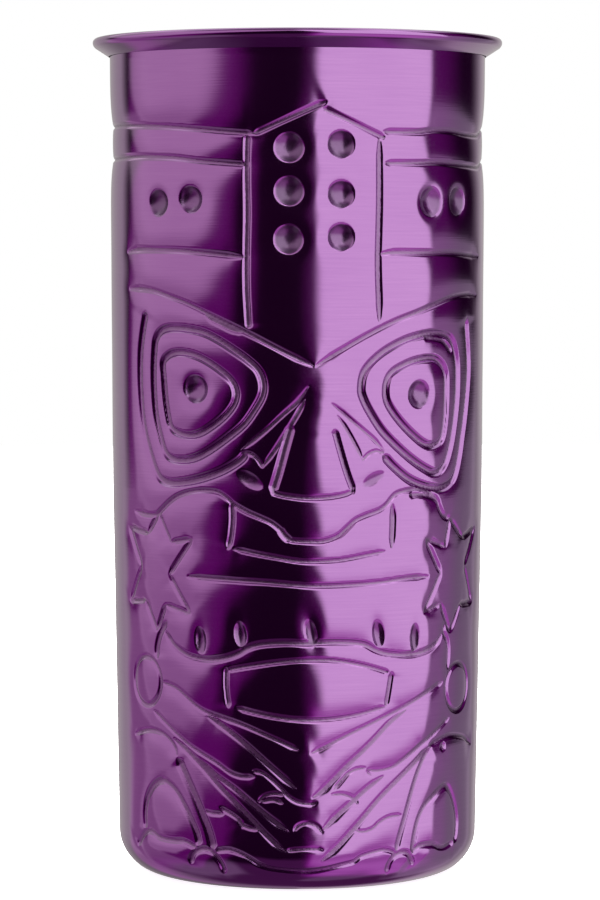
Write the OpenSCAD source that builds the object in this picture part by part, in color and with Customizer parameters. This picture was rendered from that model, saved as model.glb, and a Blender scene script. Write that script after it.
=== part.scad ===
// Tiki tumbler: a drawn and pressed metal shell with a smooth cup hung inside it.
// The cup's lip is rolled out, down and under the shell's flared edge, and that rolled seam
// is the only joint. Millimetres, +Z up, origin at the middle of the base, face towards -Y.

/* [Size] */
// Height from the table to the top of the lip
mug_h = 150; // [140:1:160]
// Diameter over the rolled lip
lip_d = 73.7; // [73:0.1:75]
// Outside diameter of the shell at the foot
foot_d = 64.7; // [60:0.1:66]
// Outside diameter of the shell half way up
waist_d = 66.8; // [65:0.2:67.2]
// Outside diameter of the shell under the lip
neck_d = 67.6; // [67:0.1:68]

/* [Shell] */
// Thickness of the outer sheet
shell_t = 0.7; // [0.6:0.05:0.8]
// Radius of the rounded bottom corner, outside
corner_r = 7.5; // [5:0.5:9]
// Depth of the pressed lines and dimples
press_depth = 0.42; // [0.2:0.02:0.45]
// Width of a pressed line
line_w = 1.3; // [0.8:0.1:1.6]
// Diameter of a pressed dimple
dimple_d = 4.8; // [3:0.1:5.4]

/* [Cup] */
// Thickness of the cup's sheet
cup_t = 0.55; // [0.5:0.05:0.6]
// Gap between the two walls, near the top
air_gap = 2; // [1.4:0.1:2.5]
// Gap between the two walls, near the foot
foot_gap = 1.6; // [1.2:0.1:2.5]
// Height of the cup's floor, outside, above the table
cup_lift = 4; // [3:0.5:8]
// Radius of the cup's bottom corner, outside
cup_corner_r = 6; // [4:0.5:8]

/* [Face] */
// Height of the upper ring round the mug
ring_upper_z = 132.5; // [131:0.5:134]
// Height of the lower ring round the mug
ring_lower_z = 127.5; // [126:0.5:129]
// Distance from the face's middle to each line of the central pillar, along the wall
pillar_half = 11.5; // [10:0.5:13]
// How many faces there are round the mug
faces = 2; // [1:1:2]

/* [Hidden] */
$fn = 96;

foot_r = foot_d / 2;
waist_r = waist_d / 2;
neck_r = neck_d / 2;
waist_z = 70;                          // the lower taper ends here
brow_r = 0.75;                         // roundness of the lip's edge, upper half
jaw_r = 1.15;                          // and of its lower half
brow = [lip_d / 2 - brow_r, mug_h - brow_r];
jaw = [lip_d / 2 - jaw_r, brow[1]];
tuck = 33;                             // slope of the lip's underside, from level
edge_gap = 0.2;                        // between the sheet's raw edge and the wall
out = [sin(tuck), -cos(tuck)];         // square to that underside, outwards
down = [-cos(tuck), -sin(tuck)];       // along it, towards the wall
flange_in = 0.8;                       // from the fold's bend to the tip of the shell's flare
fit = 0.1;                             // clearance of the cup in the shell's mouth
cup_mouth_r = neck_r - shell_t - fit;  // outside of the cup where it fills the mouth
mouth_depth = 9;                       // how far that fitted band reaches below the top
shoulder_h = 5;                        // height of the cone under the fitted band
roll_r = 1;                            // roundness of the lip's inner edge

// Points on an arc; first = 1 leaves out its first point, where the outline has it already
function arc(c, r, a0, a1, n = 8, first = 0) =
    [for (i = [first:n]) let (a = a0 + (a1 - a0) * i / n) c + r * [cos(a), sin(a)]];

// Radius of the shell's outside at height z
function wall_r(z) =
    z < waist_z ? foot_r + (waist_r - foot_r) * z / waist_z
                : waist_r + (neck_r - waist_r) * (z - waist_z) / (mug_h - waist_z);

// Where a line at the tuck's slope through p reaches radius r
function slope_z(p, r) = p[1] - (p[0] - r) * tan(tuck);

tuck_inner = jaw + (jaw_r - cup_t) * out;        // inside of the fold, where it turns straight
flange_low = tuck_inner + flange_in * down;      // tip of the shell's flare, underside
flange_top = flange_low - shell_t * out;         // tip of the shell's flare, upper side

// Half section of the outer shell
function shell_section() = concat(
    [[0, 0]],
    arc([foot_r - corner_r, corner_r], corner_r, -90, 0),
    [[waist_r, waist_z],
     [neck_r, slope_z(tuck_inner, neck_r)],
     flange_low,
     flange_top,
     [neck_r - shell_t, slope_z(flange_top, neck_r - shell_t)],
     [waist_r - shell_t, waist_z]],
    arc([foot_r - corner_r, corner_r], corner_r - shell_t, 0, -90),
    [[0, shell_t]]);

// Half section of the inner cup, with its rolled lip
cup_top_r = neck_r - shell_t - air_gap;          // outside of the cup under the shoulder
cup_low_r = foot_r - shell_t - foot_gap;         // outside of the cup above its corner
cup_corner = [cup_low_r - cup_corner_r, cup_lift + cup_corner_r];
shoulder_top = mug_h - mouth_depth;
lip_corner = [cup_mouth_r - cup_t + roll_r, mug_h - roll_r];
tuck_outer = jaw + jaw_r * out;                  // outside of the fold, where it turns straight
raw_r = neck_r + edge_gap;                       // the folded sheet is trimmed upright here

function cup_section() = concat(
    [[0, cup_lift]],
    arc(cup_corner, cup_corner_r, -90, 0),
    [[cup_top_r, shoulder_top - shoulder_h], [cup_mouth_r, shoulder_top]],
    arc(lip_corner, roll_r - cup_t, 180, 90),
    arc(brow, brow_r - cup_t, 90, 0, 4),
    arc(jaw, jaw_r - cup_t, 0, tuck - 90, 6, 1),
    [[raw_r, slope_z(tuck_inner, raw_r)], [raw_r, slope_z(tuck_outer, raw_r)]],
    arc(jaw, jaw_r, tuck - 90, 0, 6),
    arc(brow, brow_r, 0, 90, 6, 1),
    arc(lip_corner, roll_r, 90, 180),
    [[cup_mouth_r - cup_t, shoulder_top], [cup_top_r - cup_t, shoulder_top - shoulder_h]],
    arc(cup_corner, cup_corner_r - cup_t, 0, -90),
    [[0, cup_lift + cup_t]]);

// Moves a child to the wall, s along it from the face's middle and z up, with +Z outwards
module on_wall(s, z) {
    rotate([0, 0, s / waist_r * 180 / PI])
        translate([0, -wall_r(z), z]) rotate([90, 0, 0]) children();
}

// A ball that presses a round mark of width w into the wall
module press_ball(s, z, w) {
    ball_r = (w * w / 4 + press_depth * press_depth) / (2 * press_depth);
    on_wall(s, z) translate([0, 0, ball_r - press_depth]) sphere(r = ball_r);
}

// A straight pressed line between two places on the wall
line_r = (line_w * line_w / 4 + press_depth * press_depth) / (2 * press_depth);
module press_line(a, b) {
    mid = (a + b) / 2;
    run = b - a;
    on_wall(mid[0], mid[1]) translate([0, 0, line_r - press_depth])
        rotate([0, 0, atan2(run[1], run[0])]) rotate([0, 90, 0])
            cylinder(r = line_r, h = norm(run), center = true);
}

// A ring pressed round the wall from one angle to another
module press_ring(z, from, to) {
    rotate([0, 0, from]) rotate_extrude(angle = to - from)
        translate([wall_r(z) + line_r - press_depth, z]) circle(r = line_r);
}

dimple_rows = [114.5, 122, 130];
pillar_foot_z = 99;
tick_places = [[-21, 44.5], [-12.5, 46], [0, 46], [12.5, 46], [20.5, 44.5]];
gable = [[-pillar_half, 132], [1.5, 137.5], [pillar_half + 1.5, 131.5]];

// All the pressed marks of one face
module face_marks() {
    for (z = dimple_rows, side = [-1, 1]) press_ball(side * 4.5, z, dimple_d);
    for (s = [22.5, 30.5], side = [-1, 1]) press_ball(side * s, 120.5, dimple_d);
    for (side = [-1, 1]) press_ball(side * 21, 87.5, dimple_d);
    for (side = [-1, 1])
        press_line([side * pillar_half, pillar_foot_z], [side * pillar_half, ring_upper_z - 1]);
    press_line(gable[0], gable[1]);
    press_line(gable[1], gable[2]);
    for (p = tick_places) press_line(p - [0.3, 2], p + [0.3, 2]);
}

module outer_shell() {
    pillar_angle = pillar_half / waist_r * 180 / PI;
    turn = 360 / faces;
    color([0.43, 0.16, 0.50]) difference() {
        rotate_extrude() polygon(shell_section());
        for (k = [0:faces - 1]) rotate([0, 0, k * turn]) {
            face_marks();
            for (z = [ring_upper_z, ring_lower_z])
                press_ring(z, pillar_angle - 90, turn - pillar_angle - 90);
        }
    }
}

module inner_cup() {
    color([0.50, 0.22, 0.56]) rotate_extrude() polygon(cup_section());
}

outer_shell();
inner_cup();
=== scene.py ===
# %% [markdown]
# # A pressed tiki tumbler
# This is a straight metal drinking mug with a carved tiki face pressed into its wall. The real one
# is two pieces of aluminium sheet: an outer shell that carries the face, and a smooth cup hung
# inside it from a rolled lip. The frame holds both pieces at their true size. Here they get their
# finished surfaces, and everything is placed from the frame's own boxes.

# %% Load the frame
from math import cos, pi, radians, sin, tan

import bpy
import numpy as np
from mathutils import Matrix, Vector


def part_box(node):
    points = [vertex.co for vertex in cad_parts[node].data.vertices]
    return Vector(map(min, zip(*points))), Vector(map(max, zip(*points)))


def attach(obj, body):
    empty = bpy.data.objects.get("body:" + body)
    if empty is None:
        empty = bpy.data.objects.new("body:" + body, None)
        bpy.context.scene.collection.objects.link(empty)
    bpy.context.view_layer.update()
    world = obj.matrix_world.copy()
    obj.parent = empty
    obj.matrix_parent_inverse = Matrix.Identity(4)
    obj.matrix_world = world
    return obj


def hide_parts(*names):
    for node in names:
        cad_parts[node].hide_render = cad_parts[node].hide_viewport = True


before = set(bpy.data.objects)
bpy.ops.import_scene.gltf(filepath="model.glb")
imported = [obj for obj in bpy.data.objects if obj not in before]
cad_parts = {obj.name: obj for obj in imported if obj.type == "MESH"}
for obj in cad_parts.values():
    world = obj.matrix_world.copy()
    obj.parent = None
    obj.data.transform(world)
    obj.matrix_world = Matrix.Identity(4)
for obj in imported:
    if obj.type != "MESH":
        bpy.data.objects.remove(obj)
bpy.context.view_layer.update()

MM = 0.001
cup_low, cup_high = [np.array(c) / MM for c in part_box("inner_cup")]
mug_h = cup_high[2]
lip_r = min(cup_high[0], -cup_low[0])
print(f"mug {mug_h:.1f} mm tall, {2 * lip_r:.1f} mm over the lip")

# %% [markdown]
# ## The camera
# A long lens, a little below the lip and tipped down slightly, so the lip arches up in the middle
# and the foot curves down, and the walls stay almost upright. The face is turned a few degrees
# to the right of the lens, so the camera stands a few degrees to the left of the face.

# %% Camera
scene = bpy.context.scene
FACE_TURN = radians(4.3)
EYE_DISTANCE = 700 * MM
EYE_HEIGHT = 110.3 * MM
EYE_ASIDE = 0.46 * MM            # the lens stands this far right of the mug's axis
EYE_TILT = radians(2.81)
camera = bpy.data.objects.new("camera", bpy.data.cameras.new("camera"))
camera.data.lens = 154.8
camera.data.sensor_width = 36
camera.location = (
    -EYE_DISTANCE * sin(FACE_TURN) + EYE_ASIDE * cos(FACE_TURN),
    -EYE_DISTANCE * cos(FACE_TURN) - EYE_ASIDE * sin(FACE_TURN),
    EYE_HEIGHT,
)
camera.rotation_euler = (pi / 2 - EYE_TILT, 0, -FACE_TURN)
scene.collection.objects.link(camera)
scene.camera = camera
print("camera at", [round(v, 3) for v in camera.location])

# %% [markdown]
# ## The carved lines
# The face is drawn on the unrolled wall, in millimetres: s runs along the wall from the middle of
# the face to the viewer's right, and z is the height above the table. Every line is a cut of a
# gouge, so it has a width, a depth, and ends that run out to a point or stop round. A curve
# through a few points gives each cut, and one function turns all of them into a depth.

# %% Cuts and punch marks
cuts = []


def cut(width, depth, *points, closed=False, ends=1.0, sag=0.35):
    """One gouge line through some points (s, z). width and depth are its groove's, ends is how
    long its ends take to run out, all in mm, and sag is how far the sheet beside it is drawn
    down, as a share of the deepest dip."""
    cuts.append((np.array(points, float), width, depth, closed, ends, sag))


pits = []


def pit(s, z, width, height=None, lean=0.0, depth=1.1):
    """One punch mark, round or oval. lean turns an oval clockwise, in degrees."""
    pits.append((s, z, width, height or width, radians(lean), depth))


# %% [markdown]
# Two rings belt the mug and stop at a pillar with a gable over it. The pillar has three pairs of
# punch marks, and two more marks sit on each side of it.

# %% Belts, pillar and gable
WALL_R = 33.5                    # mean radius of the wall, mm
FACE_W = pi * WALL_R             # one face covers half the way round
SIDE = FACE_W / 2
cut(1.2, 0.42, (-SIDE - 3, 134.2), (-46, 134.2), (-40, 134.1), (-35, 133.9), (-25, 133.3), (-15, 132.4),
    (-10.3, 132.1), sag=0.42)
cut(1.2, 0.42, (13, 132.4), (20, 132.5), (25, 132.9), (30, 132.8), (35, 132.4), (42, 132.4), (47, 133.6),
    (SIDE, 134.2), (SIDE + 3, 134.2), sag=0.42)
cut(1.2, 0.42, (-SIDE - 3, 128.4), (-46, 128.4), (-40, 128.5), (-35, 128.5), (-30, 128.3), (-25, 128),
    (-20, 127.4), (-11.2, 126.7), sag=0.42)
cut(1.2, 0.42, (13.3, 127), (18, 127.1), (25, 127.3), (30, 127.1), (35, 126.9), (42, 126.8), (47, 127.8),
    (SIDE, 128.4), (SIDE + 3, 128.4), sag=0.42)
cut(1.4, 0.4, (-39.5, 111.8), (-36, 112.2), (-30, 112.1), (-24, 111.9), (-18, 111.4), (-11.8, 110.8),
    ends=3)
cut(1.4, 0.4, (12.2, 111.3), (15, 111.6), (20, 111.6), (30, 111.5), (35, 111.2), (40.5, 110.9), ends=3)
cut(1.5, 0.5, (-11.3, 131.7), (-11.4, 126), (-11.3, 118), (-11.5, 108), (-11.1, 98.7), ends=0.3)
cut(1.4, 0.5, (12.2, 131.3), (12.2, 120), (12, 110), (12.2, 104), (12.3, 99.6), ends=3)
cut(1.2, 0.45, (-10.2, 132), (-5, 134.3), (0, 136.5), (2.4, 137.5))
cut(1.2, 0.45, (2, 136.3), (6, 134.5), (10, 132.7), (13.3, 131.3), ends=0.4)
for s, z, width in ((-3.9, 129.7, 5.2), (-3.9, 122.2, 5.1), (-4, 113.9, 5.1),
                    (5.1, 130.2, 4.9), (5.1, 121.6, 4.8), (5.1, 114.2, 4.8),
                    (-29.8, 120.3, 4.9), (-22.2, 120.8, 4.9), (23.4, 120.4, 5.4), (31.1, 120.6, 5.2)):
    pit(s, z, width)
print(len(cuts), "cuts and", len(pits), "punch marks so far")

# %% [markdown]
# The brows are one shallow V across the whole face. Each eye is three rings inside each other,
# rounded triangles that point at the nose, with a punched pupil. The outermost ring is open above.

# %% Brows and eyes
cut(1.2, 0.42, (-38.8, 105.3), (-35, 105.3), (-31, 104.9), (-27, 103.9), (-23, 102.7), (-19, 101.1),
    (-15, 99.4), (-11, 97.6), (-7, 95.6), (-3, 93.6), (0.3, 92.1), ends=3)
cut(1.6, 0.35, (-19.3, 100.8), (-16.5, 99.5), (-14, 98.4), (-11.3, 98), ends=1.5, sag=0.1)
cut(1.2, 0.42, (0.8, 92.1), (5, 94.6), (10, 97.3), (15, 99.5), (20, 101.1), (25, 102.6), (30, 103.8),
    (35, 104.2), (39.3, 104), ends=3)
cut(1.9, 0.75, (-33.6, 101.1), (-34.6, 98), (-35.5, 94), (-35.7, 89), (-35.2, 84), (-34.2, 80),
    (-32.7, 76.5), (-31.1, 73.5), (-29.7, 72), (-27.4, 71.4), (-24, 71.6), (-20, 72.4), (-16, 73.8),
    (-12.9, 75.6), (-11.6, 77), ends=0.5)
cut(1.7, 0.75, (-30.8, 96.3), (-29.6, 97.7), (-27.5, 98.4), (-24, 98.4), (-20, 97.8), (-17, 96.6),
    (-14, 94.9), (-11.2, 93), (-9.3, 91.2), (-8.5, 89), (-8.7, 87), (-9.9, 84.8), (-12, 82), (-15, 79.6),
    (-18.5, 77.3), (-21.5, 75.9), (-24.5, 75.4), (-27, 75.7), (-28.6, 76.8), (-29.8, 79.5), (-30.9, 83),
    (-31.4, 87), (-31.5, 91), (-31.2, 94.5), closed=True)
cut(1.6, 0.75, (-28.9, 92.3), (-27.6, 93.6), (-25.5, 94.2), (-22.5, 94), (-19.5, 93), (-16.5, 91.3),
    (-14.3, 89.5), (-13.4, 87.5), (-13.8, 85.5), (-15.5, 83.4), (-18, 81.5), (-20.5, 80.2), (-22.8, 79.8),
    (-25.3, 80.2), (-27, 81.1), (-27.7, 83), (-28.3, 86), (-28.7, 89.5), closed=True)
cut(1.7, 0.75, (34.8, 99.9), (35.4, 96.5), (36, 93), (36.1, 90), (35.5, 86.5), (34.5, 82.5), (33.4, 79),
    (32.5, 76), (31.3, 73.2), (30, 71.5), (28, 70.5), (25.5, 70.3), (22, 70.9), (18.5, 72.2), (15.5, 74.3),
    (13.2, 76.4), ends=0.8)
cut(1.6, 0.75, (8.8, 88), (9.2, 90.5), (10.8, 92.6), (13.5, 94.6), (17, 96.2), (20.5, 97.1), (24, 97.5),
    (27, 97.3), (29.3, 96.5), (30.7, 94.6), (31.5, 91.7), (31.6, 88), (31.2, 84.5), (30.3, 80.5),
    (29.3, 77.5), (28, 75), (26.6, 73.6), (25, 73.1), (23.3, 73.5), (20, 75.1), (16.5, 77.5), (13, 80.6),
    (10.5, 84), (9.2, 86.4), closed=True)
cut(1.3, 0.35, (22, 96.8), (24.5, 96.6), (26.7, 96.2), (28.2, 95.2), (29.3, 94.1), ends=0.6, sag=0.1)
cut(1.5, 0.75, (27.4, 81), (26.6, 78.9), (24.7, 78), (22.8, 78), (20.5, 79.1), (17.5, 81.4), (15, 84),
    (13.7, 86.3), (13.7, 89), (15, 90.9), (18, 92.3), (21, 93), (24.2, 93.1), (26.4, 92.2), (27.7, 90.5),
    (27.9, 88), (27.8, 84), closed=True)
pit(-21.3, 87.9, 5.1)
pit(20.8, 86.9, 4.9)

# %% [markdown]
# The nose has a straight bridge, a flare on each side cut as two lines with a scallop between
# them, and a curved foot. Small slanted ovals sit beside it.

# %% Nose
cut(1.1, 0.19, (-0.5, 88.5), (-2.2, 86.1), (-5, 83.7), (-8.5, 80.6), (-12.5, 77.5), ends=2.5)
cut(1.1, 0.2, (-1, 86.5), (-2.5, 83.7), (-4.5, 80.5), (-6.5, 77.5), (-8.6, 74.7), ends=2)
cut(1, 0.26, (-12.3, 77.1), (-10.6, 76.8), (-9.4, 75.8), (-8.6, 74.5), ends=0.5, sag=0.2)
cut(1, 0.26, (3.5, 85.5), (6, 83.4), (9, 81), (11.5, 79), (13.4, 77), ends=2.5)
cut(1, 0.26, (4.5, 83.5), (6.3, 80.8), (8, 77.9), (9.2, 75.5), ends=2)
cut(0.9, 0.28, (9.2, 75.6), (10.3, 76.7), (11.8, 77.2), (13.4, 76.8), ends=0.5, sag=0.2)
cut(1.8, 0.55, (-3.6, 81.8), (-4.8, 77.5), (-5.9, 73.5), (-6.9, 70.4), ends=0.6)
cut(1.3, 0.5, (4, 80.9), (5.1, 77), (6.2, 73.5), (7.4, 70.5), ends=0.5)
cut(1.1, 0.42, (-7, 70.2), (-4.5, 69.6), (-1, 69.2), (3, 69.3), (6, 69.8), (7.6, 70.5), ends=0.4)
pit(-10.9, 72.4, 2.5, 5.4, lean=122, depth=0.35)
pit(11.3, 72.3, 2, 4.8, lean=61, depth=0.4)

# %% [markdown]
# The upper lip is one long wave like a moustache. Below it are two short uprights joined by
# sagging lines, then five upright teeth, a wavy lower lip and a shallow box for the chin.

# %% Mouth and chin
cut(1.1, 0.42, (-37.5, 66), (-34, 65.6), (-31, 65.7), (-29.5, 66.6), (-27.5, 68), (-25.5, 69.1),
    (-23, 69.9), (-20, 70.3), (-17, 70.1), (-15.3, 69.2), (-13.8, 68), (-11.5, 66.8), (-9, 65.8),
    (-7, 64.9), (-5.2, 63.5), (-3.9, 62.1), (-2.5, 61.8), (0, 61.7), (1.8, 61.7), (3.5, 62.1), (5, 62.8),
    (6.5, 64.1), (8, 65.3), (10, 66.1), (12.5, 66.9), (14, 67.9), (14.8, 68.8), (16, 69.7), (18.5, 70.2),
    (21, 70.3), (23.8, 69.6), (25.8, 68.5), ends=2)
cut(1.5, 0.5, (-5.6, 64), (-4.7, 62.7), (-3.6, 61.8), ends=0.5, sag=0.1)
cut(1.2, 0.42, (18.8, 69.3), (21, 69.4), (23.5, 69), (25.5, 68.2), (26.2, 66.9), (27.3, 65.5), (29.2, 64.8),
    ends=0.6)
cut(1.4, 0.45, (-14.3, 68.3), (-14.2, 65.5), (-14.5, 62.5), (-15, 60.4), ends=0.8)
cut(1.5, 0.45, (15, 67.9), (15.2, 65.5), (15.1, 62.5), (15, 60.2), ends=2)
cut(1, 0.4, (-14, 60.4), (-10, 59.6), (-6, 58.9), (-3, 58.4), (0, 58.2), (5, 58.4), (9, 59), (13.5, 59.7),
    ends=1.5)
cut(1.1, 0.42, (-23.2, 55.2), (-15, 54.9), (-8, 54.6), (-3, 54.2), (0, 54), (5, 54), (12, 54.3), (18, 54.8),
    (23.3, 54.9), ends=2.5)
for s, z, width, height, lean in ((-20.7, 44.1, 2.4, 5, 3), (-12.8, 45.4, 2.4, 4.8, 6),
                                  (0, 45.7, 2.1, 5, 12), (12.4, 45.3, 2.3, 5, 10),
                                  (20.3, 44.2, 2, 5.2, 2)):
    pit(s, z, width, height, -lean, 0.65)
cut(1.4, 0.45, (-28.9, 45.2), (-27, 43.1), (-24.5, 41.7), (-22, 41), (-19, 40.8), (-16, 41.2), (-13.5, 42),
    (-11.5, 43.1), (-9, 43.8), (-5, 44.1), (-1, 44), (2, 44.1), (5, 44.1), (8, 43.9), (10, 43.5),
    (11.8, 42.6), (14, 41.9), (17, 41.5), (19.5, 41.4), (22, 41.6), (24.5, 42.3), (26.3, 43.3),
    (27.3, 44.4), ends=1.5)
cut(1, 0.4, (-15.2, 39.2), (-12, 39.8), (-7, 40.6), (-3, 41), (1, 41.1), (5, 40.8), (10, 39.8),
    (14.5, 38.5), ends=0.5)
cut(1.2, 0.42, (-15.6, 39.5), (-15.6, 36), (-15.2, 32.7), ends=0.6)
cut(1.2, 0.42, (15.2, 38.4), (14.7, 35.5), (14.2, 32.6), ends=0.6)
cut(1.1, 0.4, (-13.7, 32.6), (-10, 31.8), (-6, 31.1), (-2, 30.7), (3, 30.7), (8, 31.3), (14, 32.5),
    ends=1.2)

# %% [markdown]
# A large six-pointed flower is cut beside each cheek, as pairs of short lines that meet at its
# tips and leave its middle open. An ear ring hangs on a curved thread under each one.

# %% Flowers, threads and ear rings
def flower(tips, hollows, width):
    """Lines from each tip to the hollow on either side of it."""
    for tip, before, after in zip(tips, hollows, hollows[1:] + hollows[:1]):
        for hollow in (before, after):
            middle = (np.array(tip) + hollow) / 2
            cut(width, 0.38, tip, tuple(middle), hollow, ends=1.2, sag=0.3)


flower(((-40.2, 63.2), (-30.4, 66), (-22.2, 61.8), (-22.8, 48.6), (-31.3, 45.2), (-40.2, 50)),
       [(-35.6, 56.4), (-33.4, 62.3), (-27.2, 61), (-27.6, 55.3), (-28.7, 50), (-34.4, 50.4)], 1.2)
flower(((22.7, 61.5), (29.4, 64.9), (40.2, 62.6), (39, 49.4), (30, 44.7), (22.5, 48.6)),
       [(26.7, 55.3), (28, 59.8), (33.9, 61.2), (35, 56.2), (33.4, 49.4), (26.9, 49.9)], 1.2)
cut(1.5, 0.42, (-28.6, 47), (-30.3, 44.8), (-31.3, 42.3), (-31.3, 40.4), ends=0.8)
cut(1.1, 0.4, (28.3, 46.3), (28.1, 44.8), (29.2, 43.2), (29.6, 40.8), (29.4, 38.2), ends=0.8)


def ring(s, z, r, width):
    """A closed circle of twelve points."""
    turns = np.arange(12) * pi / 6
    cut(width, 0.38, *zip(s + r * np.cos(turns), z + r * np.sin(turns)), closed=True, sag=0.3)


ring(-34.6, 36.1, 4.3, 1.1)
ring(33.1, 34.7, 4.2, 1.1)

# %% [markdown]
# Crossed bands run down from the ears and meet under the chin like the collar of a robe, with
# small petals where they meet. Two leaves stand on each side, and a wavy line runs round the foot.

# %% Collar
for line in (
    ((-29.8, 36.2), (-26, 35.2), (-22, 32.7), (-19, 31.4), (-13, 29.8), (-8, 27.9), (-2.2, 25.4)),
    ((27.8, 36), (25, 35), (20, 33), (16, 31.5), (12, 30), (7, 28), (3, 26.2), (0, 24.8)),
    ((-32.5, 31), (-28, 28.3), (-24, 25.8), (-20, 23.9), (-17.5, 22.7), (-15, 21.2), (-12.8, 20.6),
     (-10.3, 20.7)),
    ((30.2, 29.5), (26, 27.2), (22, 25.1), (18, 22.9), (15.5, 21.8), (12.5, 21.4), (10.5, 21.7)),
):
    cut(1.1, 0.24, *line, ends=1.2, sag=0.45)
for line in (
    ((-19.5, 31), (-16.5, 29.4), (-12, 26.3), (-8, 23), (-5, 20.5), (-2.6, 18.6)),
    ((18.5, 31.7), (15, 29.6), (11, 26.1), (8, 23.6), (6.3, 22.2), (4, 20), (2, 18.2), (0.3, 17.1)),
    ((-21.8, 23.4), (-18, 20.7), (-14, 18.3), (-10, 15.3), (-7, 13.1), (-4, 11.1)),
    ((13.7, 20.3), (10.5, 18.3), (8, 16.4), (5, 14), (2.2, 11.5)),
    ((-27.2, 26.4), (-24, 24.5), (-20.5, 21.8), (-17, 18.6), (-14, 16), (-11, 13.2), (-8.5, 10.8),
     (-6.5, 9), (-4.6, 7.6)),
    ((25, 24.8), (21.5, 22.6), (17, 19.5), (13, 16.4), (9.5, 12.9), (7, 10.4), (4.5, 8), (1.9, 5.9)),
):
    cut(1.6, 0.25, *line, ends=2.5, sag=0.45)
for line in (
    ((-10.8, 21.7), (-9, 21.4), (-7.3, 20.3), (-5.5, 18.7), (-4, 17.2), (-2.3, 16.3), (0, 16), (1, 16.2)),
    ((10, 22), (8, 21.7), (6.6, 21), (5.3, 19.7), (4.1, 18.4)),
    ((-9.8, 16.2), (-8.5, 17.3), (-6.6, 17.8), (-5, 17.5)),
    ((-9.2, 16.3), (-7, 16.7), (-5, 16.1)),
    ((3.6, 17.5), (5.8, 17.5), (7.6, 16.8), (8.7, 15.6)),
    ((10.5, 21.7), (10.7, 21), (11.4, 20.7)),
    ((-3.1, 11.2), (-2.3, 12.2), (-0.7, 12.6), (0.9, 12.1), (2, 10.9)),
    ((-4.6, 7.8), (-2.5, 8), (0, 8.1), (2.2, 7.9)),
    ((8, 11.3), (9.5, 10.8), (11.5, 11.2), (13, 12.3), (15, 13.1), (17.5, 13.2)),
    ((-20.5, 14.2), (-18.6, 13.9), (-16.3, 13.9)),
    ((-17, 15), (-14.5, 13.8), (-13, 12.7), (-12.7, 11.6)),
    ((-13.3, 12.4), (-11.5, 11.7), (-9.6, 11.4)),
):
    cut(1, 0.26, *line, ends=0.8, sag=0.15)

# %% Leaves and foot line
cut(1.1, 0.4, (-39, 26.2), (-36.5, 27), (-33, 27.4), (-30, 26.9), (-27.6, 25.4), (-26.4, 23.4),
    ends=1.5, sag=0.5)
cut(1.1, 0.4, (24.5, 24.9), (26, 25.3), (28.5, 25.9), (31, 26.2), (34, 25.9), (37, 25.2), (40, 23.8),
    ends=1.5, sag=0.5)
cut(1.6, 0.45, (27.7, 24.2), (28.9, 24.7), ends=0.2, sag=0.1)
cut(2.2, 0.5, (-26.2, 22.9), (-24.2, 19.6), (-22.3, 16.3), (-20.7, 13.2), (-19.4, 10.4), (-18.6, 7.4),
    ends=0.8, sag=0.5)
cut(1.5, 0.42, (24.6, 24.4), (22.9, 22.3), (21.3, 19.5), (20, 16.4), (18.8, 13), (17.7, 10), (16.8, 6.9),
    ends=1, sag=0.5)
cut(1.6, 0.45, (-36.1, 9.6), (-36.2, 12), (-35.4, 14.8), (-33.5, 17.2), (-31, 18.6), (-29.3, 18.5),
    (-27, 17.2), (-25, 14.9), (-23.1, 12), (-22, 9.8), (-21.7, 8), ends=0.6, sag=0.5)
cut(1.5, 0.42, (20.7, 6.2), (21, 9), (21.9, 12), (23.5, 14.3), (26, 16), (28.5, 17.2), (30, 17.2),
    (31.5, 15.6), (33, 13), (33.7, 10.5), (33.5, 8.3), (32.8, 7), ends=0.6, sag=0.5)
cut(1.3, 0.42, (-39, 6.3), (-37.5, 7.9), (-35.8, 9.1), (-34, 9.3), (-31.5, 8.5), (-28, 8.3), (-25, 8.4),
    (-22.4, 7.5), ends=0.4, sag=0.5)
cut(1.4, 0.42, (-23.8, 4.5), (-23.2, 5.9), (-22, 7), (-20.5, 7.4), (-19, 7.1), (-17.8, 6), (-17, 4.6),
    (-16.8, 3.2), ends=0.6, sag=0.5)
cut(1.1, 0.4, (-18.2, 7.2), (-15.5, 7.6), (-13, 7), (-11, 6), (-9.5, 5.1), (-7, 4.4), (-3, 4), (0, 3.9),
    (3, 4.3), (6, 5), (8, 5.5), (9.3, 6.4), (11.5, 7), (14, 7.3), (16, 6.8), (16.8, 6.1),
    ends=0.6, sag=0.5)
cut(1.4, 0.42, (15.5, 3), (15.5, 4.6), (16.5, 6), (18, 6.5), (19.5, 6.2), (20.5, 5.2), (21.4, 4),
    ends=0.6, sag=0.5)
cut(1.3, 0.42, (20.5, 6), (21.5, 7), (23.2, 7.4), (26, 7.2), (28, 6.5), (30, 6.4), (32.3, 7),
    ends=0.6, sag=0.5)
print(len(cuts), "cuts and", len(pits), "punch marks on one face")

# %% [markdown]
# ## From lines to depth
# A smooth curve runs through each line's points, and every place on the wall takes its distance
# to the nearest stretch of that curve. The groove is a gouge cut: a flat narrow floor and
# two straight sides with crisp shoulders. Pressing also draws the sheet beside a line down in
# a wide soft dip, which is what makes the fields between the lines look padded.

# %% Depth of the pressed face
STEP = 0.2                       # spacing of the mesh, mm
COLUMNS = 2 * round(FACE_W / STEP)
SAG_REACH = 1.8                  # how quickly the dip beside a line dies away, mm
SAG_DEPTH = 0.62                 # the deepest that dips can add up to, mm
FLOOR_SHARE = 0.45               # share of a groove's width that is its flat floor
PRESSED = 0.75                   # the sheet takes this share of a tool's depth
CLOSED = 0.93                    # and polishing leaves this share of its width


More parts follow.
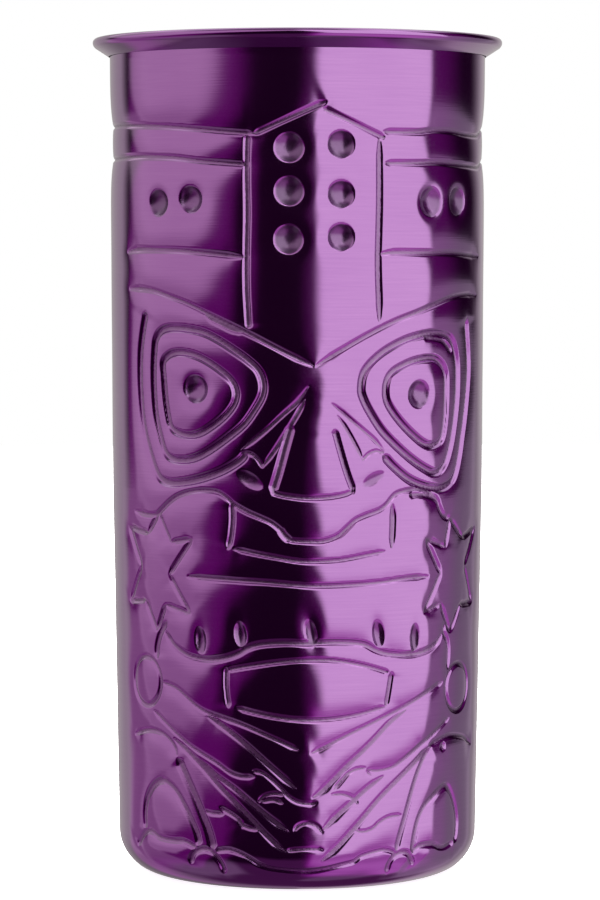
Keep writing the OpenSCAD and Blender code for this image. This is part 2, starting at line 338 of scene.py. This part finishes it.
def smooth_line(points, closed, spacing=0.35):
    """Points every spacing mm or so along a Catmull-Rom curve."""
    around = np.vstack([points[-1:], points, points[:2]] if closed
                       else [2 * points[0] - points[1], points, 2 * points[-1] - points[-2]])
    found = []
    for a, b, c, d in zip(around, around[1:], around[2:], around[3:]):
        steps = max(2, round(float(np.linalg.norm(c - b)) / spacing))
        t = np.arange(steps)[:, None] / steps
        found.append(0.5 * (2 * b + (c - a) * t + (2 * a - 5 * b + 4 * c - d) * t**2
                            + (3 * b - a - 3 * c + d) * t**3))
    return np.vstack(found + [around[-2:-1]])


def nearest(s, z, line):
    """Distance to a line of points, and how far along it the nearest place is."""
    best = np.full(s.shape, 1e9)
    along = np.zeros(s.shape)
    gone = 0.0
    for (s0, z0), (s1, z1) in zip(line, line[1:]):
        run_s, run_z = s1 - s0, z1 - z0
        length = (run_s**2 + run_z**2) ** 0.5
        if length < 1e-6:
            continue
        t = np.clip(((s - s0) * run_s + (z - z0) * run_z) / length**2, 0, 1)
        distance = (s - s0 - t * run_s) ** 2 + (z - z0 - t * run_z) ** 2
        closer = distance < best
        best = np.where(closer, distance, best)
        along = np.where(closer, gone + t * length, along)
        gone += length
    return np.sqrt(best), along, gone


def pressed(s, z):
    """In mm, the sharp depth of grooves, that of pits, and the soft depth of the dips beside both.
    Last comes how near each place is to the floor of a groove, 1 on the floor."""
    sharp, bowls, floor = np.zeros(s.shape), np.zeros(s.shape), np.zeros(s.shape)
    level = np.ones(s.shape)
    for points, width, depth, closed, ends, sag in cuts:
        line = smooth_line(points, closed)
        low, high = line.min(0) - 4 * SAG_REACH, line.max(0) + 4 * SAG_REACH
        rows = np.flatnonzero((z[:, 0] > low[1]) & (z[:, 0] < high[1]))
        columns = np.flatnonzero((s[0] > low[0]) & (s[0] < high[0]))
        here = np.ix_(rows, columns)
        distance, along, length = nearest(s[here], z[here], line)
        end = 1.0 if closed else np.clip(np.minimum(along, length - along) / max(ends, 0.05), 0, 1) ** 0.7
        half = CLOSED * width / 2 * (0.35 + 0.65 * end)
        side = np.clip((half - distance) / (half * (1 - FLOOR_SHARE)), 0, 1)
        sharp[here] = np.maximum(sharp[here], PRESSED * depth * (0.3 + 0.7 * end) * side)
        floor[here] = np.maximum(floor[here], side)
        # The dip has died away before the edge of the patch of wall that is worked on.
        beside = np.maximum(distance - half, 0) / SAG_REACH
        level[here] *= 1 - sag * (0.4 + 0.6 * end) * np.maximum(np.exp(-beside) - 0.025, 0)
    for s0, z0, width, height, lean, depth in pits:
        along = (s - s0) * sin(lean) + (z - z0) * cos(lean)
        side = (s - s0) * cos(lean) - (z - z0) * sin(lean)
        share = np.hypot(side / (width / 2), along / (height / 2))
        bowls = np.maximum(bowls, depth * (1 - share**2.5))
        level *= 1 - 0.35 * np.exp(-np.maximum(share - 1, 0) * min(width, height) / SAG_REACH)
    return sharp, bowls, SAG_DEPTH * (1 - level), floor


# %% [markdown]
# ## The outer shell
# The shell is turned like a pot: a flat base, a rounded corner, a wall with two slight tapers and
# a flared top edge, then the same sheet back down its inside. Its outside takes the pressed
# depth. The mesh is one closed skin, fine outside where the lines need it.

# %% Profile of the shell
SHEET = 0.7
foot_r, waist_r, neck_r = 32.35, 33.4, 33.8
waist_z, corner_r = 70.0, 7.5
TUCK = radians(33)               # slope of the lip's underside
BROW_R, JAW_R = 0.75, 1.15       # roundness of the lip's edge, upper and lower half
CUP_SHEET = 0.55
out = np.array([sin(TUCK), -cos(TUCK)])
down = np.array([-cos(TUCK), -sin(TUCK)])
brow = np.array([lip_r - BROW_R, mug_h - BROW_R])
jaw = np.array([lip_r - JAW_R, brow[1]])
tuck_inner = jaw + (JAW_R - CUP_SHEET) * out
tuck_outer = jaw + JAW_R * out


def arc(centre, r, start, end, n=10):
    """Points on an arc, angles in degrees."""
    a = np.radians(np.linspace(start, end, n + 1))
    return np.column_stack([centre[0] + r * np.cos(a), centre[1] + r * np.sin(a)])


def resample(points, spacing):
    """The same outline with a point every spacing mm."""
    gone = np.concatenate([[0], np.cumsum(np.linalg.norm(np.diff(points, axis=0), axis=1))])
    at = np.linspace(0, gone[-1], max(2, round(gone[-1] / spacing) + 1))
    return np.column_stack([np.interp(at, gone, points[:, k]) for k in (0, 1)])


def slope_z(p, r):
    """Height at radius r of a line through p at the slope of the lip's underside."""
    return p[1] - (p[0] - r) * tan(TUCK)


flange_low = tuck_inner + 0.8 * down
flange_top = flange_low - SHEET * out
wall_top = [neck_r, slope_z(tuck_inner, neck_r)]
outside = resample(np.vstack([
    arc((foot_r - corner_r, corner_r), corner_r, -90, 0, 24), [waist_r, waist_z], wall_top]), STEP)
inside = resample(np.vstack([
    [neck_r - SHEET, slope_z(flange_top, neck_r - SHEET)], [waist_r - SHEET, waist_z],
    arc((foot_r - corner_r, corner_r), corner_r - SHEET, 0, -90, 12)]), 2.5)
print(f"outside profile of {len(outside)} points, inside of {len(inside)}")


def across(profile):
    """The direction square to the profile at each point, pointing outwards."""
    way = np.gradient(profile, axis=0)
    way /= np.linalg.norm(way, axis=1)[:, None]
    return np.column_stack([way[:, 1], -way[:, 0]])


# %% Press the face into the profile
BEND = 0.35                      # sheet cannot fold more sharply than this beside a line, mm


def softened(field, cells):
    """A field blurred over some cells both ways. It runs on into itself from side to side."""
    steps = range(-3 * round(cells), 3 * round(cells) + 1)
    weights = np.exp(-0.5 * (np.array(steps) / cells) ** 2)
    for axis in (0, 1):
        field = sum(w * np.roll(field, k, axis) for w, k in zip(weights / weights.sum(), steps))
    return field


# The face is worked out at twice the mesh's fineness and averaged, which smooths its edges.
face_columns = COLUMNS // 2
fine_s = (np.arange(COLUMNS) + 0.5) / COLUMNS * FACE_W - SIDE
fine_z = np.interp(np.arange(2 * len(outside)) / 2 - 0.25, np.arange(len(outside)), outside[:, 1])
lines, bowls, soft, floor = pressed(*np.meshgrid(fine_s, fine_z))
soft = softened(soft, 2 * BEND / STEP)
lines, bowls, soft, floor = [np.tile(d.reshape(len(outside), 2, face_columns, 2).mean((1, 3)), 2)
                             for d in (lines, bowls, soft, floor)]
angles = (np.arange(COLUMNS) + 0.5) / face_columns * pi - pi / 2
up = outside[:, 1:]
# A pressed sheet is never quite true: it waves by a few hundredths of a millimetre.
slow_wave = np.sin(5 * angles + up / 9) * np.sin(up / 5 + 1)
quick_wave = np.sin(9 * angles - up / 14 + 2)
wave = 0.03 * (1 + slow_wave / 2 + quick_wave / 2)
# The two rings pull the wall in between them, except across the pillar.
BELT_DEPTH, BELT_Z, BELT_REACH = 0.3, 131.2, 6.0
PILLAR_HALF = 12.0
from_middle = np.abs((angles + pi / 2) % pi - pi / 2) * WALL_R
beside_pillar = np.clip((from_middle - PILLAR_HALF) / PILLAR_HALF, 0, 1)
belt = BELT_DEPTH * np.exp(-((up - BELT_Z) / BELT_REACH) ** 2) * beside_pillar
# Nothing is pressed under the foot's corner or into the flare.
fade = np.clip((up - 1.0) / 2.5, 0, 1) * np.clip((wall_top[1] - up) / 1.5, 0, 1)
depth = (np.maximum(lines, bowls) + soft + wave + belt) * fade
print(f"deepest press {depth.max():.2f} mm on {depth.shape[0]} by {depth.shape[1]} points")


def turned(radii, heights, angle):
    """Grid of 3-D points from radii and heights per row and column. Angle 0 faces -Y."""
    shape = np.broadcast_shapes(radii.shape, heights.shape, angle[None].shape)
    return np.stack([np.broadcast_to(radii * np.sin(angle), shape),
                     np.broadcast_to(-radii * np.cos(angle), shape),
                     np.broadcast_to(heights, shape)], -1)


square = across(outside)
pressed_skin = turned(outside[:, :1] - depth * square[:, :1], up - depth * square[:, 1:], angles)
edge = resample(np.vstack([wall_top, flange_low, flange_top, inside[:1]]), 0.35)[1:-1]
edge_skin = turned(edge[:, :1], edge[:, 1:], angles)

# %% Push the inside of the sheet in behind the marks
ROWS_NEAR, COLUMNS_NEAR = 6, 4   # the inside clears the deepest mark within so many mesh steps
pushed = np.maximum.reduce([np.roll(depth, k, axis=1) for k in range(-COLUMNS_NEAR, COLUMNS_NEAR + 1)])
rows_in = np.clip(np.searchsorted(outside[:, 1], inside[:, 1]), ROWS_NEAR, len(outside) - ROWS_NEAR)
pushed = np.array([pushed[row - ROWS_NEAR:row + ROWS_NEAR].max(0) for row in rows_in])
pushed *= np.clip((inside[:, 1:] - 2) / 6, 0, 1)
inside_skin = turned(inside[:, :1] - pushed, np.repeat(inside[:, 1:], COLUMNS, 1), angles)
print(f"inside pushed in by up to {pushed.max():.2f} mm")


def skin_mesh(name, rings, close_start, close_end):
    """A closed turned mesh from rings of points, with its two ends closed at the axis."""
    rows, columns = rings.shape[:2]
    points = rings.reshape(-1, 3)
    a = np.arange(rows - 1)[:, None] * columns + np.arange(columns)
    b = np.arange(rows - 1)[:, None] * columns + (np.arange(columns) + 1) % columns
    quads = np.stack([a, b, b + columns, a + columns], -1).reshape(-1, 4)
    start, end = len(points), len(points) + 1
    points = np.vstack([points, [0, 0, close_start], [0, 0, close_end]])
    first, last = np.arange(columns), np.arange(columns) + (rows - 1) * columns
    caps = [np.stack([np.full(columns, start), np.roll(first, -1), first], -1),
            np.stack([np.full(columns, end), last, np.roll(last, -1)], -1)]
    mesh = bpy.data.meshes.new(name)
    faces = [tuple(q) for q in quads.tolist()] + [tuple(t) for cap in caps for t in cap.tolist()]
    mesh.from_pydata((points * MM).tolist(), [], faces)
    mesh.shade_smooth()
    mesh.validate()
    piece = bpy.data.objects.new(name, mesh)
    scene.collection.objects.link(piece)
    print(f"{name}: {len(mesh.vertices)} points, {len(mesh.polygons)} faces")
    return piece


base_r = np.linspace(0, foot_r - corner_r, 9)[1:-1]
base_out = turned(base_r[:, None], np.zeros((len(base_r), 1)), angles)
base_in = turned(base_r[::-1, None], np.full((len(base_r), 1), SHEET), angles)
whole_skin = np.vstack([base_out, pressed_skin, edge_skin, inside_skin, base_in])
shell = skin_mesh("pressed_shell", whole_skin, 0.0, SHEET)
# Where grooves and pits are is stored in the mesh, for the material to paint shade into them,
# roughen them and give them tool marks.
before_wall = len(base_r) * COLUMNS
PIT_EDGE = 0.3                   # a pit counts as a pit in full from this depth on, mm
for name, marked in (("in_groove", floor), ("in_pit", bowls / PIT_EDGE)):
    value = np.zeros(len(shell.data.vertices))
    value[before_wall:before_wall + marked.size] = np.clip(marked, 0, 1).ravel()
    shell.data.attributes.new(name, "FLOAT", "POINT").data.foreach_set("value", value)

# %% [markdown]
# ## The inner cup and its rolled lip
# The cup is smooth and spun. Near the top it steps out to fill the shell's mouth, turns over at
# the lip, and its edge is folded down and under the shell's flare. The raw edge of the sheet
# stands just off the wall and throws the thin dark line that is seen under the lip.

# %% Cup
AIR, FOOT_GAP, LIFT = 2.0, 1.6, 4.0  # between the walls near the top and the foot, and under the cup
MOUTH, SHOULDER = 9.0, 5.0           # heights of the band that fills the mouth and of the cone under it
CUP_CORNER, ROLL_R = 6.0, 1.0        # roundness of the bottom corner and of the lip's inner edge
SLIP, EDGE_GAP = 0.1, 0.2            # round the cup in the mouth, and from the raw edge to the wall
mouth_r = neck_r - SHEET - SLIP
top_r = neck_r - SHEET - AIR
low_r = foot_r - SHEET - FOOT_GAP
corner = (low_r - CUP_CORNER, LIFT + CUP_CORNER)
shoulder_z = mug_h - MOUTH
lip_corner = (mouth_r - CUP_SHEET + ROLL_R, mug_h - ROLL_R)
raw_r = neck_r + EDGE_GAP
raw_edge = [[raw_r, slope_z(tuck_inner, raw_r)], [raw_r, slope_z(tuck_outer, raw_r)]]
cup_outline = np.vstack([
    arc(corner, CUP_CORNER, -90, 0, 12), [[top_r, shoulder_z - SHOULDER], [mouth_r, shoulder_z]],
    arc(lip_corner, ROLL_R - CUP_SHEET, 180, 90, 6), arc(brow, BROW_R - CUP_SHEET, 90, 0, 5),
    arc(jaw, JAW_R - CUP_SHEET, 0, -57, 6)[1:], raw_edge,
    arc(jaw, JAW_R, -57, 0, 10), arc(brow, BROW_R, 0, 90, 10)[1:], arc(lip_corner, ROLL_R, 90, 180, 10),
    [[mouth_r - CUP_SHEET, shoulder_z], [top_r - CUP_SHEET, shoulder_z - SHOULDER]],
    arc(corner, CUP_CORNER - CUP_SHEET, 0, -90, 12)])
CUP_COLUMNS = 480
cup_angles = np.arange(CUP_COLUMNS) / CUP_COLUMNS * 2 * pi
cup_skin = turned(cup_outline[:, :1], np.repeat(cup_outline[:, 1:], CUP_COLUMNS, 1), cup_angles)
cup = skin_mesh("spun_cup", cup_skin, LIFT, LIFT + CUP_SHEET)
cup.data.set_sharp_from_angle(angle=radians(35))

for piece, node, slot in ((shell, "outer_shell", "purple_anodised_shell"),
                          (cup, "inner_cup", "purple_anodised_cup")):
    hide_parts(node)
    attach(piece, "root")

# %% [markdown]
# ## Anodised aluminium
# Aluminium is anodised by growing a clear oxide on it and soaking that oxide in dye. So the metal
# below still mirrors the room, tinted by the dye, and the skin on top adds a faint white gloss.
# The sheet was brushed round the mug before it was dyed, so it blurs reflections up and down
# but keeps them sharp from side to side.

# %% Helpers for materials
def linear(hex_colour):
    """sRGB hex to the linear RGBA that shaders take."""
    values = [int(hex_colour[i:i + 2], 16) / 255 for i in (0, 2, 4)]
    return tuple(v / 12.92 if v <= 0.04045 else ((v + 0.055) / 1.055) ** 2.4 for v in values) + (1.0,)


def add(tree, kind, inputs=None, **settings):
    """Adds a node and returns its first visible output. inputs maps a socket's name or number
    to a value, or to another node's output to link from."""
    node = tree.nodes.new(kind)
    for name, value in settings.items():
        setattr(node, name, value)
    for name, value in (inputs or {}).items():
        socket = node.inputs[name] if isinstance(name, int) else next(
            i for i in node.inputs if i.name == name and i.enabled)
        if isinstance(value, bpy.types.NodeSocket):
            tree.links.new(value, socket)
        else:
            socket.default_value = value
    return next((o for o in node.outputs if o.enabled), node)


# %% The aluminium
def anodised_aluminium(name, dye, deep_dye, groove_painted_shade, pit_painted_shade, roughness):
    """Brushed and dyed aluminium. deep_dye is where the dye took more. groove_painted_shade is
    a darker, greyer painted shade for the bottom of a pressed line, and pit_painted_shade a
    darker painted shade for the inside of a punched pit."""
    material = bpy.data.materials.new(name)
    material.use_nodes = True
    tree = material.node_tree
    tree.nodes.clear()
    place = add(tree, "ShaderNodeTexCoord").node.outputs["Object"]
    # Brush lines are 0.2 mm apart and some 10 mm long.
    stretched = add(tree, "ShaderNodeMapping", {"Vector": place, "Scale": (100, 100, 5000)})
    lines = add(tree, "ShaderNodeTexNoise", {"Vector": stretched, "Scale": 1.0, "Detail": 2.0})
    # The dye takes unevenly over some 20 mm.
    clouds = add(tree, "ShaderNodeTexNoise", {"Vector": place, "Scale": 50.0, "Detail": 2.0})
    shade = add(tree, "ShaderNodeMath", {0: lines, 1: clouds}, operation="ADD")
    shade = add(tree, "ShaderNodeMapRange", {"Value": shade, "From Min": 0.6, "From Max": 1.4})
    tint = add(tree, "ShaderNodeMix", {
        "Factor": shade, "A": linear(deep_dye), "B": linear(dye)}, data_type="RGBA")
    # Painted shade: the bottom of a groove and the inside of a pit are coloured darker and greyer
    # than the dye, for shade and a soft grey reflection of the room there. The brush missed the
    # very bottom of a groove, and in a pit the painted shade comes and goes in random scuffs.
    groove_floor = add(tree, "ShaderNodeAttribute", attribute_name="in_groove").node.outputs["Fac"]
    pit_depth = add(tree, "ShaderNodeAttribute", attribute_name="in_pit").node.outputs["Fac"]
    bottom = add(tree, "ShaderNodeMapRange", {"Value": groove_floor, "From Min": 0.75, "From Max": 1.0})
    # Painted shade in the pits, broken up at random like scuffs.
    pit_shade_and_scuffs = add(tree, "ShaderNodeMapRange", {
        "Value": clouds, "From Min": 0.42, "From Max": 0.6, "To Min": 0.5, "To Max": 1.0})
    pit_shade_and_scuffs = add(tree, "ShaderNodeMath", {0: pit_shade_and_scuffs, 1: pit_depth}, operation="MULTIPLY")
    # Here the painted shade goes into the colour, first in the grooves, then in the pits.
    tint = add(tree, "ShaderNodeMix", {
        "Factor": bottom, "A": tint, "B": linear(groove_painted_shade)}, data_type="RGBA")
    tint = add(tree, "ShaderNodeMix", {
        "Factor": pit_shade_and_scuffs, "A": tint, "B": linear(pit_painted_shade)}, data_type="RGBA")
    # Both of those places are rougher, so they blur the room to one soft tone.
    dull = add(tree, "ShaderNodeMath", {0: pit_shade_and_scuffs, 1: bottom}, operation="MAXIMUM")
    rough = add(tree, "ShaderNodeMapRange", {"Value": dull, "To Min": roughness, "To Max": roughness + 0.26})
    # Tool marks are 0.5 mm across in the grooves and 1.2 mm across in the punched pits.
    marks = add(tree, "ShaderNodeTexNoise", {"Vector": place, "Scale": 2000.0, "Detail": 1.0})
    dents = add(tree, "ShaderNodeTexVoronoi", {"Vector": place, "Scale": 830.0})
    # In mm, brush lines stand 0.004 high and the marks up to 0.06.
    line_height = add(tree, "ShaderNodeMath", {0: lines, 1: 0.004}, operation="MULTIPLY")
    mark_height = add(tree, "ShaderNodeMath", {0: marks, 1: 0.06}, operation="MULTIPLY")
    dent_height = add(tree, "ShaderNodeMath", {0: dents, 1: 0.04}, operation="MULTIPLY")
    height = add(tree, "ShaderNodeMix", {"Factor": bottom, "A": line_height, "B": mark_height})
    height = add(tree, "ShaderNodeMix", {"Factor": pit_depth, "A": height, "B": dent_height})
    bump = add(tree, "ShaderNodeBump", {"Height": height, "Strength": 1.0, "Distance": MM})
    round_it = add(tree, "ShaderNodeTangent", direction_type="RADIAL", axis="Z")
    skin = add(tree, "ShaderNodeBsdfPrincipled", {
        "Base Color": tint, "Metallic": 1.0, "Roughness": rough,
        "Anisotropic": 0.5, "Anisotropic Rotation": 0.25, "Tangent": round_it, "Normal": bump,
        "Coat Weight": 0.5, "Coat Roughness": 0.15, "Coat IOR": 1.6})
    add(tree, "ShaderNodeOutputMaterial", {"Surface": skin})
    return material


# The same dye bath colours both pieces: a mid purple that goes nearly black where the room is dark.
# The brushed shell gives crisp bands of light, and the spun cup slightly softer ones.
# The last two are painted shade, not dye: for the bottoms of the grooves and for the pits.
DYE_AND_SHADE_TONES = "b284ba", "a878b2", "987a9e", "78607e"
shell.data.materials.append(anodised_aluminium("purple anodised aluminium, brushed", *DYE_AND_SHADE_TONES, 0.11))
cup.data.materials.append(anodised_aluminium("purple anodised aluminium, spun", *DYE_AND_SHADE_TONES, 0.12))
print([material.name for material in bpy.data.materials])

# %% [markdown]
# ## Table and light
# The mug stands on a white table in a white surround. What shows in the metal is a second
# surround that only reflections see: a tall white panel to the right of the lens, a dimmer cream
# one to the left, pale walls behind, strips of light above, and plum fill in the gaps. The panels
# stop short of the lens, so a dark band runs down the middle of the mug between two bright ones,
# and that band is what makes a polished cylinder read as round.

# %% Table
TABLE = 1.6
table_mesh = bpy.data.meshes.new("table")
corners = [(x * TABLE, y * TABLE, -0.2 * MM) for x, y in ((-1, -1), (1, -1), (1, 1), (-1, 1))]
table_mesh.from_pydata(corners, [], [(0, 1, 2, 3)])
table = bpy.data.objects.new("table", table_mesh)
scene.collection.objects.link(table)
# White paper with a faint grain. It is lit from below, so nothing on it throws a shadow.
GRAIN = 8 * MM                   # the pattern runs from 0 to 1 across the whole sheet
paper = bpy.data.materials.new("white paper")
paper.use_nodes = True
sheet = paper.node_tree
sheet.nodes.clear()
fibres = add(sheet, "ShaderNodeTexNoise", {"Scale": 2 * TABLE / GRAIN, "Detail": 2.0})
shade = add(sheet, "ShaderNodeMix", {
    "Factor": fibres, "A": linear("f4f4f4"), "B": linear("fafafa")}, data_type="RGBA")
surface = add(sheet, "ShaderNodeBsdfPrincipled", {
    "Base Color": shade, "Roughness": 0.9, "Emission Color": linear("ffffff"), "Emission Strength": 0.9})
add(sheet, "ShaderNodeOutputMaterial", {"Surface": surface})
table_mesh.materials.append(paper)
table.visible_glossy = False

# A soft lamp overhead evens the table out. Neither the lens nor the metal sees the lamp itself.
table_lamp = bpy.data.objects.new("table_lamp", bpy.data.lights.new("table_lamp", "AREA"))
table_lamp.data.size = 1.5
table_lamp.data.energy = 110
table_lamp.location = (0, 0, 1.2)
table_lamp.visible_glossy = False
table_lamp.visible_camera = False
scene.collection.objects.link(table_lamp)

# %% Surround
world = bpy.data.worlds.new("studio")
scene.world = world
world.use_nodes = True
room = world.node_tree
room.nodes.clear()
way = add(room, "ShaderNodeTexCoord").node.outputs["Generated"]
way = add(room, "ShaderNodeVectorRotate", {"Vector": way, "Angle": FACE_TURN}, rotation_type="Z_AXIS")
parts = add(room, "ShaderNodeSeparateXYZ", {0: way}).node.outputs
front = add(room, "ShaderNodeMath", {0: parts["Y"], 1: -1.0}, operation="MULTIPLY")
azimuth = add(room, "ShaderNodeMath", {0: parts["X"], 1: front}, operation="ARCTAN2")
height = add(room, "ShaderNodeMath", {0: parts["Z"]}, operation="ARCSINE")


def patch(strength, sides, ends, lean=(0.0, 0.0)):
    """A soft-edged patch of the surround. sides are four azimuths, where it starts to show, is
    full, starts to fade and is gone, to the right of the lens. ends are four such heights.
    lean is how far its two sides move right for each degree of height. All in degrees."""
    total = strength
    for value, slant, start, full in ((azimuth, lean[0], *sides[:2]), (azimuth, lean[1], *sides[:1:-1]),
                                      (height, 0.0, *ends[:2]), (height, 0.0, *ends[:1:-1])):
        if slant:
            value = add(room, "ShaderNodeMath", {0: height, 1: -slant, 2: azimuth}, operation="MULTIPLY_ADD")
        soft = add(room, "ShaderNodeMapRange", {
            "Value": value, "From Min": radians(start), "From Max": radians(full),
        }, interpolation_type="SMOOTHSTEP")
        total = add(room, "ShaderNodeMath", {0: total, 1: soft}, operation="MULTIPLY")
    return total


def together(patches):
    """Adds patches up."""
    total = patches[0]
    for one in patches[1:]:
        total = add(room, "ShaderNodeMath", {0: total, 1: one}, operation="ADD")
    return total


EVERY_WAY = (-182, -181, 181, 182)   # all the way round
UP = (40, 60)                        # the tall panels end at this height
white_light = together([
    patch(1.13, (9, 16, 88, 92), (-20, -9.5, *UP), lean=(-0.3, -0.3)),           # the tall right panel
    patch(0.27, (90, 95, 140, 150), (-60, -50, -2.6, -1.2)),                     # a low wall right of it
    patch(0.85, (30, 70, 181, 182), (35, 50, 66, 82)),                           # strips of light above
    patch(0.55, (-182, -181, -95, -75), (35, 50, 66, 82)),
    patch(0.2, EVERY_WAY, (50, 75, 91, 92)),                                     # the ceiling
    patch(0.12, (9, 30, 90, 120), (-92, -91, -50, -25)),                         # glow off the table
    patch(0.2, (9, 16, 88, 92), (-70, -35, -18, -10)),                           # foot of the right panel
    patch(0.16, (-140, -110, -60, -40), (-70, -55, -45, -22)),                   # and of the left one
    patch(0.02, EVERY_WAY, (-92, -91, -40, -25)),
])
cream_light = together([
    patch(0.33, (-124, -118, -57, -47), (-21, -14, *UP), lean=(-1.0, 1.8)),      # the tall left panel
    patch(0.24, (-126, -104, -65, -44), (-8, 0, *UP), lean=(-1.0, 1.8)),         # its brighter upper part
    patch(0.5, (132, 160, 181, 182), (-50, -35, 60, 80)),                        # the wall behind, right
    patch(0.2, (-182, -181, -139, -126), (-60, -45, 60, 80)),                    # the wall behind, left
    patch(0.24, (-182, -181, -139, -126), (-30, -6, 60, 80)),                    # brighter higher up
    patch(0.19, (-142, -130, -122, -116), (-40, -20, -4.5, -2.5), lean=(0.0, -1.0)),
])
plum_light = together([
    patch(0.018, EVERY_WAY, (-92, -91, 91, 92)),                                 # a trace in every shadow
    patch(0.06, EVERY_WAY, (-92, -91, -40, -25)),                                # and more of it from below
    patch(0.17, (-130, -120, -44, -26), (-50, -35, 50, 70), lean=(1.0, 1.0)),    # cloths beside the panels
    patch(0.12, (0, 14, 95, 125), (-70, -50, 50, 70)),
    patch(0.25, (5, 14, 92, 98), (-75, -55, -18, -10)),
])
studio = None
for colour, strength in (("ffffff", white_light), ("f8f8f0", cream_light), ("ff3cff", plum_light)):
    light = add(room, "ShaderNodeBackground", {"Color": linear(colour), "Strength": strength})
    studio = light if studio is None else add(room, "ShaderNodeAddShader", {0: studio, 1: light})
# The lens itself sees plain white.
sweep = add(room, "ShaderNodeBackground", {"Color": linear("ffffff"), "Strength": 1.0})
seen = add(room, "ShaderNodeLightPath")
both = add(room, "ShaderNodeMixShader", {0: seen, 1: studio, 2: sweep})
add(room, "ShaderNodeOutputWorld", {"Surface": both})

# %% Colour and finish
scene.view_settings.view_transform = "Standard"
